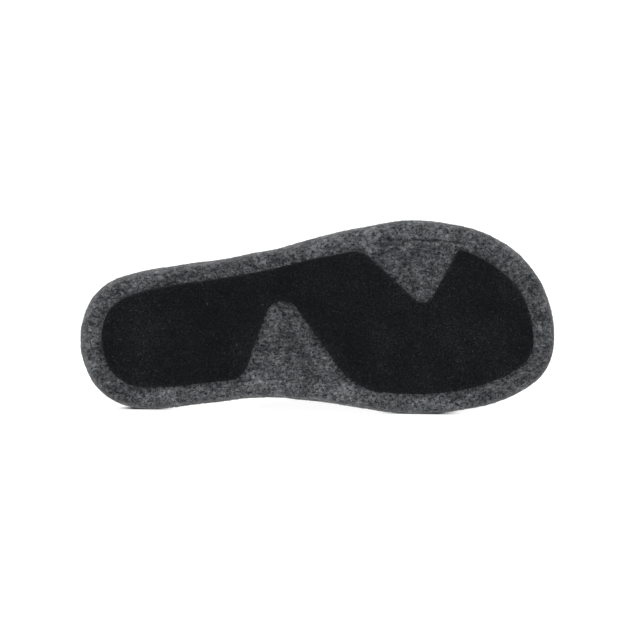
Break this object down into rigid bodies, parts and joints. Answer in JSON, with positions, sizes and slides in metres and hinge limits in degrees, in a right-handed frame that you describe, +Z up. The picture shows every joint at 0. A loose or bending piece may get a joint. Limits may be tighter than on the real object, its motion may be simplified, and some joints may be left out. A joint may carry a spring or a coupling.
{
  "type": "slipper",
  "caption": "Backless felt slipper for the right foot, lying on its inner side: rolled felt sole with a dark notched tread pad, hollow closed-toe vamp and felt insole.",
  "frame": {"origin": "on the floor, below the middle of the lying slipper's bounding box", "axes": "+X from heel to toe, -Y the way the sole faces (tipped up by about 8 degrees), +Z up towards the lateral side, which is uppermost because the slipper lies on its medial side"},
  "size_m": [0.27, 0.0822, 0.1091],
  "materials": {
    "felt_sole": "heathered grey wool felt, matt",
    "felt_upper": "heathered grey wool felt, matt",
    "felt_insole": "heathered grey wool felt, matt, pressed smoother",
    "tread_pad": "matt black, fine grained"
  },
  "bodies": {
    "root": {"sole": "felt_sole", "upper": "felt_upper", "insole": "felt_insole", "outsole_pad": "tread_pad"}
  },
  "joints": []
}
